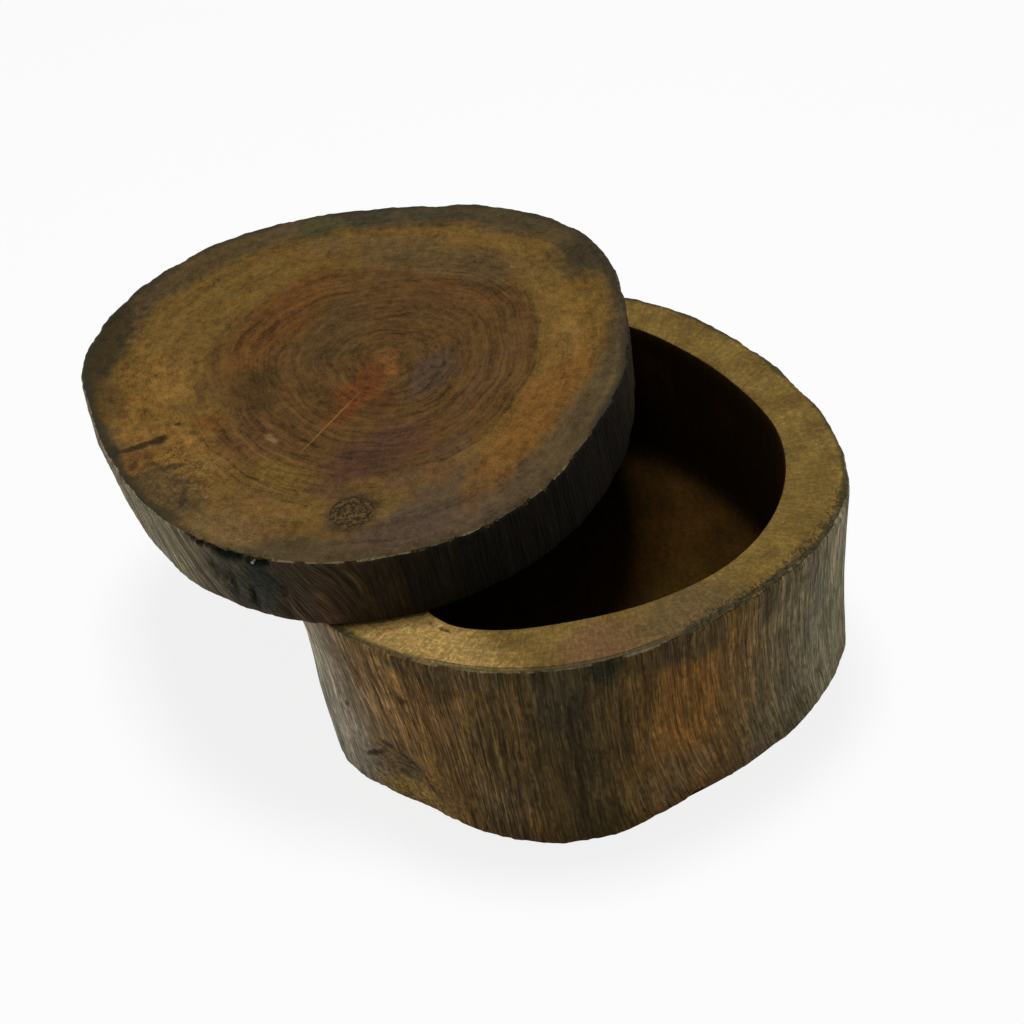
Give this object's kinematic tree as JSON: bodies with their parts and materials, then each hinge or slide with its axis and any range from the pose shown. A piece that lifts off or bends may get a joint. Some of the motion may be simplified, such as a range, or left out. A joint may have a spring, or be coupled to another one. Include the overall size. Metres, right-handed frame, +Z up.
{
  "type": "swivel-lid wooden box",
  "caption": "Keepsake box hollowed from a natural-edge teak log slice, with a matching slice as a lid that swivels flat on a screw pivot hidden under a wood plug.",
  "frame": {"origin": "on the cavity's axis, at the flat base that the box stands on", "axes": "+Z up; +X to the right and +Y away from the viewer in the stored view, with the lid swung open to the left and back"},
  "size_m": [0.2069, 0.1788, 0.0985],
  "materials": {
    "body_wood": "weathered fibrous side, oiled saw-cut rim, dark cavity",
    "lid_wood": "oiled end grain with growth rings, weathered edge",
    "plug_wood": "dark mottled, flush with the lid",
    "fixing_steel": "bright zinc plate"
  },
  "bodies": {
    "base": {"box_body": "body_wood", "pivot_screw": "fixing_steel", "pivot_washer": "fixing_steel"},
    "swivel_lid": {"lid": "lid_wood", "pivot_plug": "plug_wood"}
  },
  "joints": [
    {"name": "lid_swivel", "type": "hinge", "parent": "base", "child": "swivel_lid", "pos_m": [-0.05252, -0.03301, 0.0762], "axis": [0, 0, 1], "continuous": true}
  ]
}
